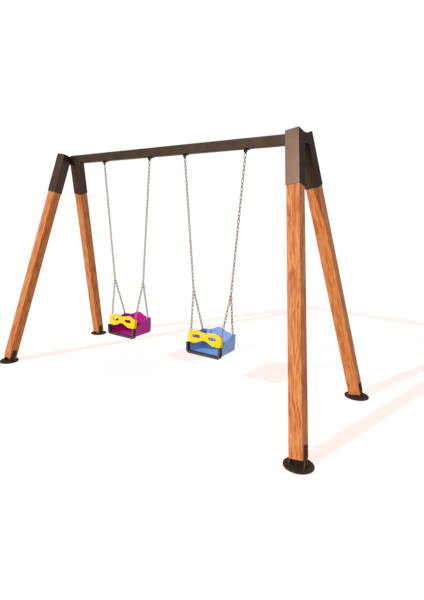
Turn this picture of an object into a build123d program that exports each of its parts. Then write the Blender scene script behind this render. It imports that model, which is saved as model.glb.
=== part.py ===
from build123d import *
import os
from math import atan2, cos, hypot, radians, sin, sqrt, tan

os.makedirs("parts", exist_ok=True)

# A double swing frame with two toddler bucket seats. Four splayed timber legs stand in steel feet,
# two steel heads join them to a box beam, and each seat hangs from two chains that split into a
# front and a rear branch. Lengths are millimetres. X runs along the beam, Y to the back of the
# seats and Z up, from the ground at the middle of the four feet.

# ---- legs ----
FOOT_SPAN_X = 3400.0        # between foot centres along the beam
FOOT_SPAN_Y = 1386.0        # between foot centres front to back
CROSS_SPAN_X = 2512.0       # between the two points where an end's leg axes would cross
HEAD_SPAN_Y = 187.3         # between an end's leg axes at the beam's mid-height
POST_SIDE = 100.0
POST_EDGE_ROUND = 3.0
POST_FOOT_GAP = 48.0        # foot centre to the timber's sawn bottom, along the leg
POST_TOP_GAP = 12.0         # timber's top to the underside of the socket's cap

# ---- heads ----
SOCKET_WALL = 4.0
SOCKET_CLEARANCE = 0.5      # each side, between timber and socket
CAP_RISE = 46.1             # beam's mid-height to the middle of a socket's cap
SOCKET_LENGTH = 417.0
SOCKET_EDGE_ROUND = 2.0
SOCKET_SCREW_R = 5.0
SOCKET_SCREW_LENGTH = 60.0
SOCKET_SCREW_HEAD_R = 11.0
SOCKET_SCREW_HEAD_T = 5.0
SOCKET_SCREW_DROPS = (125.0, 335.0)   # cap to each screw, along the leg
BLOCK_TOP_STEP = 6.0        # beam's top to the head block's top
BLOCK_BOTTOM_STEP = 6.0     # beam's underside to the head block's underside
BLOCK_WALL = 6.0

# ---- beam ----
BEAM_Z = 2221.0             # beam's mid-height
BEAM_WIDTH = 90.0
BEAM_HEIGHT = 80.0
BEAM_WALL = 4.0
BEAM_EDGE_ROUND = 5.0
BEAM_END_GAP = 0.5          # beam's end to the face of the head
SPIGOT_CLEARANCE = 0.5
SPIGOT_WALL = 5.0
SPIGOT_LENGTH = 140.0
BEAM_SCREW_R = 5.0
BEAM_SCREW_HEAD_R = 9.0
BEAM_SCREW_HEAD_T = 4.5
BEAM_SCREW_LENGTH = 20.0
BEAM_SCREW_INSET = 70.0     # head face to the screws, along the beam
BEAM_SCREW_SPACING = 46.0

# ---- feet ----
DISC_R = 104.0
DISC_T = 8.0
DISC_EDGE_BREAK = 1.5
ANCHOR_PCD = 164.0
ANCHOR_HOLE_R = 7.0
FORK_PLATE_T = 8.0
FORK_PLATE_WIDTH = 45.0
FORK_RISE = 92.0            # timber's bottom to the top of the fork plate
FORK_NECK_HALF = 12.0
FORK_STEP_RISE = 18.0       # timber's bottom to where the back edge steps in
FORK_TOE = 52.0             # reach of the plate's toe at the ground, towards the front
FORK_SADDLE_T = 8.0
FOOT_BOLT_R = 6.0
FOOT_BOLT_RISE = 52.0
FOOT_BOLT_HEAD_R = 10.0
FOOT_BOLT_HEAD_T = 6.0

# ---- hangers ----
SWING_OFFSET = 41.5         # mid-point of the two swings from the middle of the beam
SWING_HALF_SPACING = 513.7
HANGER_HALF = 306.6         # swing centre to each of its pivots
FLANGE_X = 40.0
FLANGE_Y = 84.0
FLANGE_T = 5.0
HANGER_SCREW_SPACING = 60.0
HANGER_SCREW_R = 4.0
HANGER_SCREW_HEAD_R = 7.0
HANGER_SCREW_HEAD_T = 3.5
HANGER_SCREW_LENGTH = 18.0
CHEEK_T = 5.0
CHEEK_TOP_WIDTH = 46.0
CHEEK_R = 10.0
PIVOT_DROP = 17.0           # beam's underside to the pivot axis
PIN_R = 5.0
PIN_HEAD_R = 8.0
PIN_HEAD_T = 3.0
PIN_TAIL = 4.0
CLIP_T = 2.5
BUSH_WALL = 2.0
BUSH_RUNNING = 0.05         # radial clearance between pin and bush
EYE_WALL = 3.0
EYE_SIDE_GAP = 0.5
LUG_T = 6.0
HOOK_DROP = 14.5            # pivot axis to the lug's chain hole
HOOK_HOLE_R = 5.0
HOOK_RIM = 4.0
HOOK_PLAY = 1.7             # slack left between a link's wire and the edge it hangs on

# ---- chain ----
WIRE_R = 3.0
LINK_INNER_WIDTH = 10.0
LINK_PITCH = 33.75
LINK_SLACK = 0.35           # gap between the wires of neighbouring links
CHAIN_LEAN = 5.0            # degrees from upright, towards the middle of the seat
MAIN_LINKS = 35
FRONT_LINKS = 14
REAR_LINKS = 11
RING_WIRE_R = 3.5
RING_CORNER_R = 7.5         # of the ring's wire centre
RING_GAP = 0.4
RING_DROP = 28.0            # last main link's wire to the branch links' wires
RING_SPREAD = 5.0           # half distance between the two branches in the ring

# ---- seat ----
FRONT_HOOK_X = 155.0
FRONT_HOOK_Y = -114.0
REAR_HOOK_Y = 103.0
BUMPER_BELOW_HOOK = 97.5    # front hook's wire to the bumper's underside
SHELL_HALF_WIDTH = 177.0
SHELL_WALL = 7.0
SHELL_BACK_Y = 153.0
SHELL_ROUND = 25.0          # where the sides and the back meet the base
SHELL_REAR_ROUND = 14.0     # where the sides meet the back
SHELL_EDGE_ROUND = 2.0
RIM_BACK_RISE = 162.0       # heights above the shell's underside
RIM_SADDLE_RISE = 122.0
RIM_DIP = 12.0              # fall of the side rim before the saddle
RIM_FRONT_RISE = 110.0
HUMP_RISE = 205.0
HUMP_HALF = 140.0
BUMPER_BAR = 24.0           # the bumper's width round the edge
BUMPER_FRONT_Y = -147.0
BUMPER_DEPTH = 43.0
BUMPER_ROUND = 8.0
BUMPER_LIP_ROUND = 2.0
GROOVE_DEPTH = 7.0
GROOVE_CLEARANCE = 0.2
CORE_BAR_WIDTH = 14.0
CORE_BAR_T = 4.0
RIVET_R = 2.4
RIVET_HEAD_R = 4.5
RIVET_HEAD_T = 2.5
REAR_EYE_T = 5.0
REAR_EYE_WIDTH = 26.0
REAR_EYE_BOLT_R = 3.0
REAR_EYE_BOLT_HEAD_R = 6.0
REAR_EYE_BOLT_HEAD_T = 3.0
REAR_EYE_BOLT_SPACING = 24.0

# ---- guard ----
GUARD_TILT = 7.0            # degrees, top towards the back
GUARD_TRAVEL = 50.0
GUARD_DEPTH = 38.0
GUARD_PANEL_T = 15.0
GUARD_HALF_TOP = 185.0
GUARD_HALF_BOTTOM = 177.0
GUARD_END_HEIGHT = 93.0
GUARD_LOBE_HEIGHT = 121.0
GUARD_LOBE_X = 97.0
GUARD_WAIST_HEIGHT = 105.0
GUARD_NOTCH_RISE = 35.0
GUARD_CORNER_R = 10.0
GUARD_EDGE_ROUND = 5.0
GUARD_REST_GAP = 0.6        # guard's underside to the bumper's ends at rest
GUARD_FOOT_RISE = 7.5       # front hook's wire to the guard's underside
GUARD_FRONT_WALL = 2.5      # in front of the chain at the guard's foot
GUARD_RIM_GAP = 3.0         # guard's back to the shell's rim
SLEEVE_WALL = 2.2
SLEEVE_PLAY = 0.6           # round the chain
SLEEVE_CORNER_R = 6.0
SLOT_LENGTH = 80.0
SLOT_HEIGHT = 30.0
SLOT_X = 86.0
SLOT_RISE = 66.0

SIDES = {"left": -1, "right": 1}
ROWS = {"front": -1, "rear": 1}

# ---- derived sizes ----
CROSS_HEIGHT = BEAM_Z / (1 - HEAD_SPAN_Y / FOOT_SPAN_Y)
LEG_RUN_X = (FOOT_SPAN_X - CROSS_SPAN_X) / 2
LEG_LENGTH = sqrt(LEG_RUN_X**2 + (FOOT_SPAN_Y / 2) ** 2 + CROSS_HEIGHT**2)
HEAD_LEAN = atan2(LEG_RUN_X, CROSS_HEIGHT)
LEG_SPREAD = atan2(FOOT_SPAN_Y / 2, hypot(LEG_RUN_X, CROSS_HEIGHT))
SOCKET_INNER = POST_SIDE + 2 * SOCKET_CLEARANCE
SOCKET_OUTER = SOCKET_INNER + 2 * SOCKET_WALL
SOCKET_TOP = LEG_LENGTH * (BEAM_Z + CAP_RISE) / CROSS_HEIGHT
BEAM_BOTTOM = BEAM_Z - BEAM_HEIGHT / 2
BEAM_TOP = BEAM_Z + BEAM_HEIGHT / 2
PIVOT_Z = BEAM_BOTTOM - PIVOT_DROP
BUSH_INNER_R = PIN_R + BUSH_RUNNING
BUSH_OUTER_R = BUSH_INNER_R + BUSH_WALL
EYE_R = BUSH_OUTER_R + EYE_WALL
CHEEK_SLOT = CHEEK_R + 3.0
EYE_LENGTH = CHEEK_SLOT - 2 * EYE_SIDE_GAP
LINK_INNER_LENGTH = LINK_PITCH + LINK_SLACK
LINK_END_R = LINK_INNER_WIDTH / 2 + WIRE_R
LINK_HALF_WIDTH = LINK_END_R + WIRE_R
LINK_HALF_REACH = LINK_INNER_LENGTH / 2 + WIRE_R   # link centre to its end wire's centre
HOOK_SHIFT = HOOK_HOLE_R - WIRE_R - HOOK_PLAY      # hole centre to the wire hooked in it


def chain_length(links):
    """First to last wire centre of a run of links."""
    return 2 * LINK_HALF_REACH + (links - 1) * LINK_PITCH


def main_direction(hand):
    """Downward direction of a main chain; hand is -1 or 1 across the seat."""
    lean = radians(CHAIN_LEAN)
    return Vector(-hand * sin(lean), 0, -cos(lean))


def pivot_point(hand):
    return Vector(hand * HANGER_HALF, 0, PIVOT_Z)


def ring_top(hand):
    """Centre of the last main link's lower wire, which the seat pitches about."""
    return pivot_point(hand) + main_direction(hand) * (HOOK_DROP + HOOK_SHIFT + chain_length(MAIN_LINKS))


def branch_top(hand, row):
    """Centre of the wire by which a branch hangs in the ring."""
    return ring_top(hand) + main_direction(hand) * RING_DROP + Vector(0, row * RING_SPREAD, 0)


def branch_foot(hand, row, x, y, links):
    """Where a branch that hangs to the given x and y ends."""
    top = branch_top(hand, row)
    run = hypot(top.X - hand * x, top.Y - y)
    return Vector(hand * x, y, top.Z - sqrt(chain_length(links) ** 2 - run**2))


REAR_HOOK_X = SHELL_HALF_WIDTH - SHELL_WALL - REAR_EYE_T / 2
FRONT_HOOK = branch_foot(1, ROWS["front"], FRONT_HOOK_X, FRONT_HOOK_Y, FRONT_LINKS)
REAR_HOOK = branch_foot(1, ROWS["rear"], REAR_HOOK_X, REAR_HOOK_Y, REAR_LINKS)
FRONT_CHAIN = (FRONT_HOOK - branch_top(1, ROWS["front"])).normalized()
REAR_CHAIN = (REAR_HOOK - branch_top(1, ROWS["rear"])).normalized()
BUMPER_BOTTOM = FRONT_HOOK.Z - BUMPER_BELOW_HOOK
SHELL_BOTTOM = BUMPER_BOTTOM + (BUMPER_BAR - SHELL_WALL) / 2
BUMPER_BACK_Y = BUMPER_FRONT_Y + BUMPER_DEPTH
SHELL_FRONT_Y = BUMPER_BACK_Y - GROOVE_DEPTH + GROOVE_CLEARANCE
GUARD_SLIDE = Vector(0, -FRONT_CHAIN.Y, -FRONT_CHAIN.Z).normalized()
GUARD_FOOT_Z = FRONT_HOOK.Z + GUARD_FOOT_RISE


def swing_x(side):
    return SWING_OFFSET + side * SWING_HALF_SPACING


def node(name, *solids):
    """Write one named part; each solid given stays a solid of its own."""
    loose = [solid for shape in solids for solid in shape.solids()]
    export_step(loose[0] if len(loose) == 1 else Compound(loose), f"parts/{name}.step")


def bar_x(radius, length):
    """A round bar along X, centred on the origin."""
    return Rot(0, 90, 0) * Cylinder(radius, length)


def bar_y(radius, length):
    return Rot(90, 0, 0) * Cylinder(radius, length)


def span_box(x0, x1, y0, y1, z0, z1):
    return Pos((x0 + x1) / 2, (y0 + y1) / 2, (z0 + z1) / 2) * Box(abs(x1 - x0), abs(y1 - y0), abs(z1 - z0))


def domed(radius, height):
    """A low screw head on the XY plane with a rounded top edge."""
    head = Cylinder(radius, height, align=(Align.CENTER, Align.CENTER, Align.MIN))
    return fillet(head.edges().sort_by(Axis.Z)[-1], height * 0.6)


# ---- legs and heads ----
def leg_location(side, row):
    """Foot centre, z up the leg, x out of the frame's end; local y is world y times side."""
    foot = Vector(side * FOOT_SPAN_X / 2, row * FOOT_SPAN_Y / 2, 0)
    crossing = Vector(side * CROSS_SPAN_X / 2, 0, CROSS_HEIGHT)
    outward = Vector(side * CROSS_HEIGHT, 0, LEG_RUN_X)
    return Plane(origin=foot, x_dir=outward, z_dir=crossing - foot).location


def socket_screw_seats(side):
    """Places of the socket screws on the back face, z out of the timber, in the leg's own frame."""
    turn = Rot(-90 * side, 0, 0)
    return [Pos(0, side * SOCKET_OUTER / 2, SOCKET_TOP - drop) * turn for drop in SOCKET_SCREW_DROPS]


def post(side):
    top = SOCKET_TOP - SOCKET_WALL - POST_TOP_GAP
    half = POST_SIDE / 2
    body = span_box(-half, half, -half, half, POST_FOOT_GAP, top)
    body = fillet(body.edges().filter_by(Axis.Z), POST_EDGE_ROUND)
    body -= Pos(0, 0, POST_FOOT_GAP + FOOT_BOLT_RISE) * bar_x(FOOT_BOLT_R, 2 * POST_SIDE)
    for seat in socket_screw_seats(side):
        body -= seat * Cylinder(SOCKET_SCREW_R, 2 * SOCKET_SCREW_LENGTH)
    return body


def socket(side):
    outer = SOCKET_OUTER / 2
    inner = SOCKET_INNER / 2
    bottom = SOCKET_TOP - SOCKET_LENGTH
    body = span_box(-outer, outer, -outer, outer, bottom, SOCKET_TOP)
    body = fillet(body.edges().filter_by(Axis.Z), SOCKET_EDGE_ROUND)
    body -= span_box(-inner, inner, -inner, inner, bottom - SOCKET_WALL, SOCKET_TOP - SOCKET_WALL)
    for seat in socket_screw_seats(side):
        body -= seat * Cylinder(SOCKET_SCREW_R, 2 * SOCKET_SCREW_LENGTH)
    return body


def socket_screw():
    shank = Cylinder(SOCKET_SCREW_R, SOCKET_SCREW_LENGTH, align=(Align.CENTER, Align.CENTER, Align.MAX))
    return shank + domed(SOCKET_SCREW_HEAD_R, SOCKET_SCREW_HEAD_T)


def block_half_width(depth):
    """Half the gap between an end's sockets, at a depth below the crossing in their plane."""
    return depth * tan(LEG_SPREAD) - SOCKET_OUTER / 2 / cos(LEG_SPREAD)


def head_block(side):
    """A box that fills the gap between the two sockets, open towards the beam."""
    crossing = Vector(side * CROSS_SPAN_X / 2, 0, CROSS_HEIGHT)
    lean = Vector(side * CROSS_HEIGHT, 0, LEG_RUN_X)
    place = Plane(origin=crossing, x_dir=lean, z_dir=(-side * LEG_RUN_X, 0, CROSS_HEIGHT)).location
    top = (CROSS_HEIGHT - BEAM_TOP + BLOCK_TOP_STEP) / cos(HEAD_LEAN)
    bottom = (CROSS_HEIGHT - BEAM_BOTTOM + BLOCK_BOTTOM_STEP) / cos(HEAD_LEAN)

    def wedge(inset):
        wide = block_half_width(bottom - inset) - inset
        narrow = block_half_width(top + inset) - inset
        low, high = -bottom + inset, -top - inset
        return Polygon((-wide, low), (wide, low), (narrow, high), (-narrow, high), align=None)

    half = SOCKET_OUTER / 2
    solid = extrude(Plane.YZ * wedge(0), half, both=True)
    pocket = Pos(-BLOCK_WALL, 0, 0) * extrude(Plane.YZ * wedge(BLOCK_WALL), half, both=True)
    return place * (solid - pocket)


def head_face_x(z, gap=0.0):
    """Distance from mid-span to the leaning inner face of a head, at a height."""
    back = SOCKET_OUTER / 2 + gap
    return CROSS_SPAN_X / 2 - (back - (CROSS_HEIGHT - z) * sin(HEAD_LEAN)) / cos(HEAD_LEAN)


def beam_solid(width, height, gap, overrun=0.0):
    low, high = BEAM_Z - height / 2, BEAM_Z + height / 2
    x_low, x_high = head_face_x(low, gap) + overrun, head_face_x(high, gap) + overrun
    outline = Polygon((-x_low, low), (x_low, low), (x_high, high), (-x_high, high), align=None)
    return extrude(Plane.XZ * outline, width / 2, both=True)


def beam_screw_places():
    """Heads of the screws under the beam's ends."""
    x = head_face_x(BEAM_BOTTOM) - BEAM_SCREW_INSET
    y = BEAM_SCREW_SPACING / 2
    return [Pos(sx * x, sy * y, BEAM_BOTTOM) for sx in (-1, 1) for sy in (-1, 1)]


def hanger_places():
    return [swing_x(side) + hand * HANGER_HALF for side in (-1, 1) for hand in (-1, 1)]


def hanger_screw_places():
    y = HANGER_SCREW_SPACING / 2
    return [Pos(x, sy * y, BEAM_BOTTOM - FLANGE_T) for x in hanger_places() for sy in (-1, 1)]


def top_beam():
    body = beam_solid(BEAM_WIDTH, BEAM_HEIGHT, BEAM_END_GAP)
    body = fillet(body.edges().filter_by(Axis.X), BEAM_EDGE_ROUND)
    body -= beam_solid(BEAM_WIDTH - 2 * BEAM_WALL, BEAM_HEIGHT - 2 * BEAM_WALL, 0, BEAM_WALL)
    for place in beam_screw_places():
        body -= place * Cylinder(BEAM_SCREW_R, 3 * BEAM_WALL)
    for place in hanger_screw_places():
        body -= place * Cylinder(HANGER_SCREW_R, 2 * (FLANGE_T + 2 * BEAM_WALL))
    return body


def beam_spigot(side):
    """The stub that the beam slides over, welded to the face of the head."""
    width = BEAM_WIDTH - 2 * (BEAM_WALL + SPIGOT_CLEARANCE)
    height = BEAM_HEIGHT - 2 * (BEAM_WALL + SPIGOT_CLEARANCE)
    low, high = BEAM_Z - height / 2, BEAM_Z + height / 2
    start = head_face_x(high) - SPIGOT_LENGTH
    x_low, x_high = head_face_x(low), head_face_x(high)
    outline = Polygon((start, low), (x_low, low), (x_high, high), (start, high), align=None)
    body = extrude(Plane.XZ * outline, width / 2, both=True)
    inner_y, inner_z = width / 2 - SPIGOT_WALL, height / 2 - SPIGOT_WALL
    body -= span_box(0, CROSS_SPAN_X, -inner_y, inner_y, BEAM_Z - inner_z, BEAM_Z + inner_z)
    for place in beam_screw_places()[2:]:
        body -= place * Cylinder(BEAM_SCREW_R, 2 * (BEAM_WALL + SPIGOT_WALL) + 4)
    return body if side > 0 else mirror(body, about=Plane.YZ)


def beam_screw():
    shank = Cylinder(BEAM_SCREW_R, BEAM_SCREW_LENGTH, align=(Align.CENTER, Align.CENTER, Align.MIN))
    return shank + Rot(180, 0, 0) * domed(BEAM_SCREW_HEAD_R, BEAM_SCREW_HEAD_T)


# ---- feet ----
def foot_disc():
    disc = Cylinder(DISC_R, DISC_T, align=(Align.CENTER, Align.CENTER, Align.MIN))
    for place in PolarLocations(ANCHOR_PCD / 2, 4):
        disc -= place * Cylinder(ANCHOR_HOLE_R, 4 * DISC_T)
    rims = disc.edges().filter_by(GeomType.CIRCLE).sort_by(SortBy.RADIUS)[-2:]
    return chamfer(rims.sort_by(Axis.Z)[-1], DISC_EDGE_BREAK)


def foot_fork(side, row):
    """Two side plates and a saddle under the timber, cut level on the disc."""
    front = -side
    half = FORK_PLATE_WIDTH / 2
    top = POST_FOOT_GAP + FORK_RISE
    below = POST_FOOT_GAP - DISC_R
    outline = Polygon(
        (-half * front, top),
        (half * front, top),
        (half * front, POST_FOOT_GAP),
        (FORK_TOE * front, below),
        (-FORK_NECK_HALF * front, below),
        (-FORK_NECK_HALF * front, POST_FOOT_GAP),
        (-half * front, POST_FOOT_GAP + FORK_STEP_RISE),
        align=None,
    )
    reach = POST_SIDE / 2
    plate = extrude(Plane.YZ * outline, FORK_PLATE_T / 2, both=True)
    plate -= Pos(0, 0, POST_FOOT_GAP + FOOT_BOLT_RISE) * bar_x(FOOT_BOLT_R, 4 * FORK_PLATE_T)
    shift = reach + FORK_PLATE_T / 2
    fork = Pos(shift, 0, 0) * plate + Pos(-shift, 0, 0) * plate
    neck = FORK_NECK_HALF
    fork += span_box(-reach, reach, -neck, neck, POST_FOOT_GAP - FORK_SADDLE_T, POST_FOOT_GAP)
    fork = leg_location(side, row) * fork
    below_disc = Box(4 * DISC_R, 4 * DISC_R, 4 * DISC_R, align=(Align.CENTER, Align.CENTER, Align.MAX))
    return fork - Pos(side * FOOT_SPAN_X / 2, row * FOOT_SPAN_Y / 2, DISC_T) * below_disc


def foot_bolt():
    """Through bolt along X, its dome on the +X side."""
    reach = POST_SIDE / 2 + FORK_PLATE_T
    shank = span_bar_x(-reach - FOOT_BOLT_HEAD_T, reach, FOOT_BOLT_R)
    return shank + Pos(reach, 0, 0) * Rot(0, 90, 0) * domed(FOOT_BOLT_HEAD_R, FOOT_BOLT_HEAD_T)


def span_bar_x(x0, x1, radius):
    return Pos((x0 + x1) / 2, 0, 0) * bar_x(radius, x1 - x0)


def foot_nut():
    reach = POST_SIDE / 2 + FORK_PLATE_T
    hexagon = extrude(RegularPolygon(FOOT_BOLT_HEAD_R, 6), FOOT_BOLT_HEAD_T)
    hexagon -= Cylinder(FOOT_BOLT_R, 4 * FOOT_BOLT_HEAD_T)
    return Pos(-reach, 0, 0) * Rot(0, -90, 0) * hexagon


# ---- hangers ----
def hanger():
    """Bracket under the beam with two cheeks, centred on its own pivot's X."""
    flange = Box(FLANGE_X, FLANGE_Y, FLANGE_T, align=(Align.CENTER, Align.CENTER, Align.MAX))
    flange = Pos(0, 0, BEAM_BOTTOM) * flange
    flange = fillet(flange.edges().filter_by(Axis.Z), FLANGE_T)
    top, half = BEAM_BOTTOM - FLANGE_T, CHEEK_TOP_WIDTH / 2
    profile = Polygon((-half, top), (half, top), (CHEEK_R, PIVOT_Z), (-CHEEK_R, PIVOT_Z), align=None)
    profile += Pos(0, PIVOT_Z) * Circle(CHEEK_R)
    cheek = extrude(Plane.YZ * profile, CHEEK_T / 2, both=True)
    shift = (CHEEK_SLOT + CHEEK_T) / 2
    body = flange + Pos(shift, 0, 0) * cheek + Pos(-shift, 0, 0) * cheek
    body -= Pos(0, 0, PIVOT_Z) * bar_x(PIN_R, 2 * FLANGE_X)
    for sy in (-1, 1):
        body -= Pos(0, sy * HANGER_SCREW_SPACING / 2, BEAM_BOTTOM) * Cylinder(HANGER_SCREW_R, 4 * FLANGE_T)
    return body


def hanger_screw():
    shank = Cylinder(HANGER_SCREW_R, HANGER_SCREW_LENGTH, align=(Align.CENTER, Align.CENTER, Align.MIN))
    return shank + Rot(180, 0, 0) * domed(HANGER_SCREW_HEAD_R, HANGER_SCREW_HEAD_T)


def pivot_pin():
    reach = CHEEK_SLOT / 2 + CHEEK_T
    pin = span_bar_x(-reach, reach + PIN_TAIL, PIN_R)
    return pin + span_bar_x(-reach - PIN_HEAD_T, -reach, PIN_HEAD_R)


def pivot_clip():
    reach = CHEEK_SLOT / 2 + CHEEK_T
    ring = span_bar_x(reach, reach + CLIP_T, PIN_HEAD_R)
    return ring - span_bar_x(reach - CLIP_T, reach + 2 * CLIP_T, PIN_R)


def chain_plane(hand, origin):
    """The plane of Y and the main chain, local y up the chain."""
    down = main_direction(hand)
    return Plane(origin=origin, x_dir=(0, 1, 0), z_dir=Vector(0, 1, 0).cross(down * -1))


def swing_eye(hand):
    """A barrel that turns on the pin, with the lug that the first link hangs in."""
    rim = HOOK_HOLE_R + HOOK_RIM
    lug = Pos(0, -HOOK_DROP / 2) * Rectangle(2 * rim - 1, HOOK_DROP)
    lug += Pos(0, -HOOK_DROP) * Circle(rim)
    lug -= Pos(0, -HOOK_DROP) * Circle(HOOK_HOLE_R)
    place = chain_plane(hand, pivot_point(hand)).location
    body = place * extrude(lug, LUG_T / 2, both=True)
    body += Pos(*pivot_point(hand)) * bar_x(EYE_R, EYE_LENGTH)
    return body - Pos(*pivot_point(hand)) * bar_x(BUSH_OUTER_R, 2 * EYE_LENGTH)


def pivot_bush():
    return bar_x(BUSH_OUTER_R, EYE_LENGTH) - bar_x(BUSH_INNER_R, 2 * EYE_LENGTH)


# ---- chains ----
def chain_link():
    """One welded link along Z, its width along X."""
    straight = LINK_HALF_REACH - LINK_END_R
    half = LINK_END_R
    path = Wire([
        Edge.make_line((half, 0, -straight), (half, 0, straight)),
        Edge.make_three_point_arc((half, 0, straight), (0, 0, straight + half), (-half, 0, straight)),
        Edge.make_line((-half, 0, straight), (-half, 0, -straight)),
        Edge.make_three_point_arc((-half, 0, -straight), (0, 0, -straight - half), (half, 0, -straight)),
    ])
    return sweep(Plane(origin=(half, 0, -straight), z_dir=(0, 0, 1)) * Circle(WIRE_R), path=path)


LINK = chain_link()


def chain(top, down, links):
    """Links along a line; the first faces the front and each next one is turned a quarter."""
    side_on = Vector(1, 0, 0) - down * down.X
    face_on = down.cross(side_on)
    run = []
    for index in range(links):
        across = face_on if index % 2 else side_on
        centre = top + down * (LINK_HALF_REACH + index * LINK_PITCH)
        run.append(Plane(origin=centre, x_dir=across, z_dir=down).location * LINK)
    return run


def main_chain(hand):
    down = main_direction(hand)
    return chain(pivot_point(hand) + down * (HOOK_DROP + HOOK_SHIFT), down, MAIN_LINKS)


def branch_chain(hand, row, direction, links):
    return chain(branch_top(hand, row), Vector(hand * direction.X, direction.Y, direction.Z), links)


def chain_ring(hand):
    """The three-cornered ring that joins two branches to a main chain."""
    drop = WIRE_R + RING_WIRE_R + RING_GAP
    top = RING_CORNER_R - drop
    foot = RING_DROP - top
    corners = [(0, -top), (RING_SPREAD, -foot), (-RING_SPREAD, -foot)]
    outline = offset(Polygon(*corners, align=None), RING_CORNER_R, kind=Kind.ARC)
    place = chain_plane(hand, ring_top(hand))
    path = (place.location * outline).wires()[0]
    return sweep(Plane(origin=path @ 0, z_dir=path % 0) * Circle(RING_WIRE_R), path=path)


# ---- seats ----
def u_band(width, top, inner_shift=0.0):
    """A U in the XZ plane that follows the middle of the shell's front edge."""
    middle = SHELL_HALF_WIDTH - SHELL_WALL / 2
    base = SHELL_BOTTOM + SHELL_WALL / 2
    corner = SHELL_ROUND - SHELL_WALL / 2

    def rounded(grow):
        half = middle + grow
        low = base - grow
        high = top + 4 * corner
        shape = Pos(0, (low + high) / 2) * RectangleRounded(2 * half, high - low, max(corner + grow, 1.0))
        return shape

    band = rounded(width / 2 + inner_shift) - rounded(inner_shift - width / 2)
    span = 2 * SHELL_HALF_WIDTH + 4 * width
    return band & Pos(0, (top + base) / 2 - width) * Rectangle(span, top - base + 2 * width)


def u_solid(width, top, y0, y1):
    return Pos(0, (y0 + y1) / 2, 0) * extrude(Plane.XZ * u_band(width, top), (y1 - y0) / 2, both=True)


def shell_box(inset, front_y, top):
    """The bucket's rounded box, open work being cut from it later."""
    half = SHELL_HALF_WIDTH - inset
    back = SHELL_BACK_Y - inset
    bottom = SHELL_BOTTOM + inset
    box = span_box(-half, half, front_y, back, bottom, top)
    trough = fillet(box.edges().group_by(Axis.Z)[0].filter_by(Axis.Y), SHELL_ROUND - inset)
    heel = box.edges().group_by(Axis.Z)[0].filter_by(Axis.X).sort_by(Axis.Y)[-1]
    rear = box.edges().filter_by(Axis.Z).group_by(Axis.Y)[-1]
    return trough & fillet(heel, SHELL_ROUND - inset) & fillet(rear, SHELL_REAR_ROUND - inset)


def seat_shell():
    top = SHELL_BOTTOM + HUMP_RISE + SHELL_WALL
    body = shell_box(0, SHELL_FRONT_Y, top)
    body -= shell_box(SHELL_WALL, SHELL_FRONT_Y - SHELL_BACK_Y, top + SHELL_BACK_Y)
    body &= side_rim(top)
    body &= back_rim()
    for place in rivet_places():
        body -= place * Cylinder(RIVET_R, 4 * BUMPER_BAR)
    for hand in (-1, 1):
        for place in rear_eye_bolt_places(hand):
            body -= place * Cylinder(REAR_EYE_BOLT_R, 6 * SHELL_WALL)
    return body


def side_rim(top):
    """What the sides keep: a rim that climbs from behind the guard to the back."""
    rises = (RIM_BACK_RISE, RIM_SADDLE_RISE, RIM_FRONT_RISE)
    back, saddle, front = (SHELL_BOTTOM + rise for rise in rises)
    low = guard_foot_at(BUMPER_BACK_Y) - GUARD_REST_GAP - 8.0
    step_y = FRONT_HOOK_Y + (GUARD_DEPTH - guard_front_reach()) + GUARD_RIM_GAP
    front_y = step_y + (front - low) * GUARD_SLIDE.Y / GUARD_SLIDE.Z
    wall_y = SHELL_BACK_Y - SHELL_ROUND
    dip_y, saddle_y = SHELL_BACK_Y * 0.13, -SHELL_BACK_Y * 0.29
    with BuildSketch(Plane.YZ) as sketch:
        with BuildLine():
            Polyline((front_y, front), (step_y, low), (SHELL_FRONT_Y - 1, low))
            Polyline((SHELL_FRONT_Y - 1, low), (SHELL_FRONT_Y - 1, SHELL_BOTTOM - 1))
            Polyline((SHELL_FRONT_Y - 1, SHELL_BOTTOM - 1), (SHELL_BACK_Y + 1, SHELL_BOTTOM - 1))
            Polyline((SHELL_BACK_Y + 1, SHELL_BOTTOM - 1), (SHELL_BACK_Y + 1, top + 1), (wall_y, top + 1))
            Polyline((wall_y, top + 1), (wall_y, back))
            Spline((wall_y, back), (dip_y, back - RIM_DIP), (saddle_y, saddle), (front_y, front))
        make_face()
    return extrude(sketch.sketch, 2 * SHELL_HALF_WIDTH, both=True)


def back_rim():
    """What the back keeps: a low rim with a soft hump in the middle."""
    rim = SHELL_BOTTOM + RIM_BACK_RISE
    crown = SHELL_BOTTOM + HUMP_RISE
    brow = rim + (crown - rim) * 0.46
    half = SHELL_HALF_WIDTH + 1
    foot = SHELL_BOTTOM - 1
    hump = HUMP_HALF
    with BuildSketch(Plane.XZ) as sketch:
        with BuildLine():
            Polyline((-hump, rim + 4), (-half, rim), (-half, foot))
            Polyline((-half, foot), (half, foot), (half, rim), (hump, rim + 4))
            Spline((hump, rim + 4), (hump * 0.45, brow), (0, crown), (-hump * 0.45, brow), (-hump, rim + 4))
        make_face()
    return extrude(sketch.sketch, 3 * SHELL_BACK_Y, both=True)


def guard_front_reach():
    """Chain's centre to the guard's front face."""
    return LINK_HALF_WIDTH + SLEEVE_PLAY + GUARD_FRONT_WALL


def guard_foot_at(y):
    """Height of the guard's underside at a distance front to back."""
    slope = tan(radians(GUARD_TILT))
    return GUARD_FOOT_Z - (y - FRONT_HOOK_Y) * slope


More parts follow.
